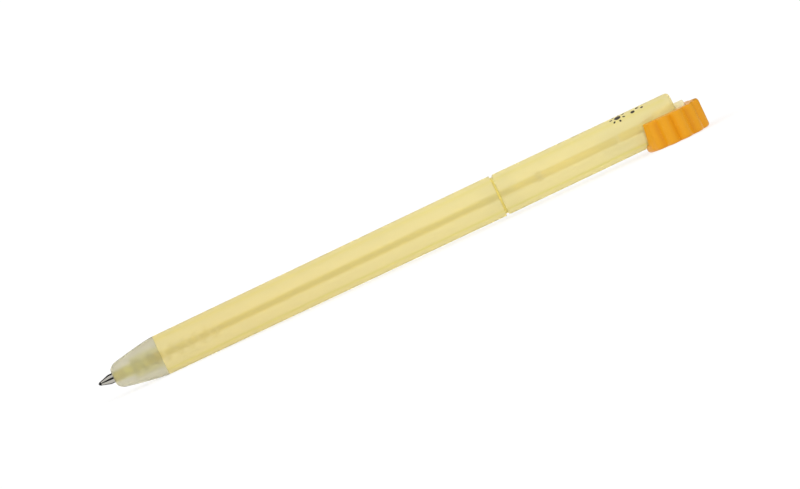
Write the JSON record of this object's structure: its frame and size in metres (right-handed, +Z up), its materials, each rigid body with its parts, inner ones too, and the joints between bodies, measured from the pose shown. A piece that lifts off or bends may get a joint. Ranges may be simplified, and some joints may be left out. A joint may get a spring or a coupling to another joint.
{
  "type": "ballpoint pen",
  "caption": "Retractable ballpoint pen with a milky yellow barrel, frosted nose cone, inner click mechanism and refill, worked by a scalloped orange knock knob that straddles the barrel's tail.",
  "frame": {"origin": "under the middle of the pen, on the surface that it lies on", "axes": "+X along the pen towards its tail, +Z up, away from the knob's flat back"},
  "size_m": [0.15, 0.0208, 0.0109],
  "materials": {
    "frosted_clear": "frosted clear",
    "milky_yellow": "milky, slightly see-through",
    "natural_plastic": "as moulded",
    "yellow": "satin",
    "orange": "satin",
    "tube_clear": "clear",
    "ink": "black ink",
    "steel": "polished",
    "spring_steel": "drawn wire",
    "carbide": "polished, inked"
  },
  "bodies": {
    "barrel": {"nose_cone": "frosted_clear", "lower_barrel": "milky_yellow", "upper_barrel": "milky_yellow", "coupling_sleeve": "natural_plastic", "return_spring": "spring_steel"},
    "knock": {"push_rod": "yellow", "knock_knob": "orange"},
    "refill": {"refill_tube": "tube_clear", "tail_plug": "natural_plastic", "ink_column": "ink", "tip_holder": "natural_plastic", "tip_body": "steel"},
    "rotor": {"cam_rotor": "natural_plastic"},
    "ball": {"writing_ball": "carbide"}
  },
  "joints": [
    {"name": "knock_slide", "type": "slide", "parent": "barrel", "child": "knock", "axis": [-1, 0, 0], "range_m": [-0.0052, 0.0012]},
    {"name": "refill_slide", "type": "slide", "parent": "barrel", "child": "refill", "axis": [-1, 0, 0], "range_m": [-0.0052, 0.0012], "deforming": ["return_spring"]},
    {"name": "rotor_turn", "type": "hinge", "parent": "refill", "child": "rotor", "pos_m": [0.0425, 0, 0.00592], "axis": [1, 0, 0], "continuous": true},
    {"name": "ball_roll", "type": "hinge", "parent": "refill", "child": "ball", "pos_m": [-0.0747, 0, 0.00592], "axis": [0, 1, 0], "continuous": true}
  ],
  "couplings": [
    {"joint": "refill_slide", "follows": "knock_slide", "ratio": 1}
  ]
}
